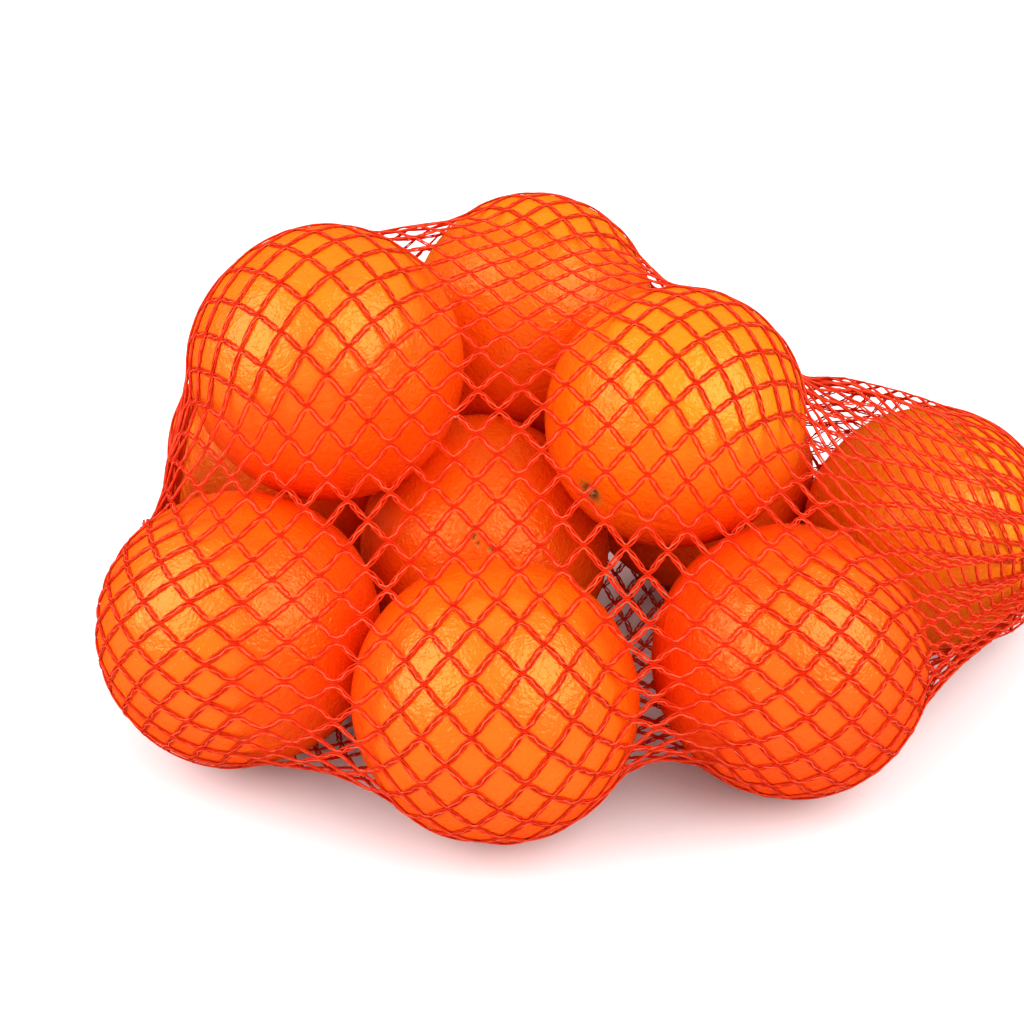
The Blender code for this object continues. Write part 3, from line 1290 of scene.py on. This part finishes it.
@dataclass
class Studio:
    """White board, soft boxes, pale surroundings and the camera."""

    target: Vector = field(default_factory=lambda: Vector((-0.0421, -0.0574, 0.0947)))
    camera_distance: float = 0.4959
    camera_height: float = 31.67
    lens: float = 66.2
    board_size: float = 8.0
    world_light: float = 1.36
    boxes: tuple[SoftBox, ...] = (
        SoftBox("left_box", (-0.80, -0.22, 0.56), 1.0, 0.90, 7.0),
        SoftBox("right_box", (0.62, -0.38, 0.69), 1.0, 0.90, 7.0),
    )

    def _build_board(self) -> None:
        """Lay the plain board that the heap stands on."""
        bm = bmesh.new()
        bmesh.ops.create_grid(bm, x_segments=1, y_segments=1, size=self.board_size)
        floor = object_from(bm, "white_board", FloorFinish().build())
        floor.visible_glossy = False

    def build(self) -> None:
        """Set up everything that isn't part of the object."""
        self._build_board()
        for box in self.boxes:
            box.build(self.target)
        scene = bpy.context.scene
        world = bpy.data.worlds.new("studio")
        world.use_nodes = True
        background = world.node_tree.nodes["Background"]
        background.inputs["Color"].default_value = (1.0, 1.0, 1.0, 1.0)
        background.inputs["Strength"].default_value = self.world_light
        world.cycles_visibility.glossy = False
        scene.world = world
        scene.view_settings.view_transform = "Standard"
        height = math.radians(self.camera_height)
        back = Vector((0.0, -math.cos(height), math.sin(height)))
        lens = bpy.data.cameras.new("camera")
        lens.lens = self.lens
        lens.sensor_width = 36.0
        lens.clip_start = 0.01
        lens.clip_end = 50.0
        holder = linked_object("camera", lens)
        holder.location = self.target + back * self.camera_distance
        holder.rotation_euler = (math.pi / 2.0 - height, 0.0, 0.0)
        scene.camera = holder


# ---------------------------------------------------------------------------------------------
# The whole
# ---------------------------------------------------------------------------------------------


@dataclass
class NetOfOranges:
    """The oranges, the net over them, and its two gathered ends."""

    oranges: list[Orange]
    necks: dict[End, tuple[Vector, Vector]] = field(
        default_factory=lambda: {
            End.LEFT: (Vector((-0.1545, 0.0340, 0.0180)), Vector((-0.22, 0.97, -0.12))),
            End.RIGHT: (Vector((0.1375, 0.0255, 0.0270)), Vector((0.97, 0.06, -0.24))),
        }
    )

    def build(self) -> None:
        """Make every piece and mount it in place of the part that it replaces."""
        peel = PeelFinish().build()
        wood = StemFinish().build()
        for orange in self.oranges:
            self._mount(orange.build(peel, self.oranges), "filled_net", "orange_peel")
            self._mount(orange.build_stem(wood), "filled_net", None)
        rail = StrandFinish("net_rail", (0.64, 0.022, 0.0016, 1.0), (0.56, 0.011, 0.0008, 1.0)).build()
        # The inlaid thread is a real filament, painted paler pink than the rails as painted glints
        # between them.
        thread = StrandFinish("net_thread_painted_glint", (0.78, 0.100, 0.045, 1.0), (0.68, 0.036, 0.009, 1.0)).build()
        skin = Skin(self.oranges)
        tube = NetTube(skin, self.necks)
        tight = tube.pull_tight()
        for piece in KnitPiece(tight, KnitStitch(), skin).build("net", 4, rail, thread):
            self._mount(piece, "filled_net", "net_strand")
        metal = ClipFinish().build()
        for end, (tip, away) in self.necks.items():
            for piece in GatheredTail(end, tube).build(rail, thread):
                self._mount(piece, f"{end.value}_tail", "net_strand")
            clip = Clip(end, tip, away.normalized()).build(metal)
            self._mount(clip, f"{end.value}_clip", "clip_metal")

    @staticmethod
    def _mount(piece: bpy.types.Object, node: str, slot: str | None) -> None:
        """Join a piece to the body, hide the part it replaces and log it."""
        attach(piece, BODY)
        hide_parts(node)
        report(piece)


def main() -> None:
    """Build the studio and the net of oranges."""
    logging.basicConfig(level=logging.INFO, format="%(message)s", stream=sys.stdout)
    heap = Heap()
    Studio().build()
    NetOfOranges(heap.oranges()).build()


if __name__ == "__main__":
    main()
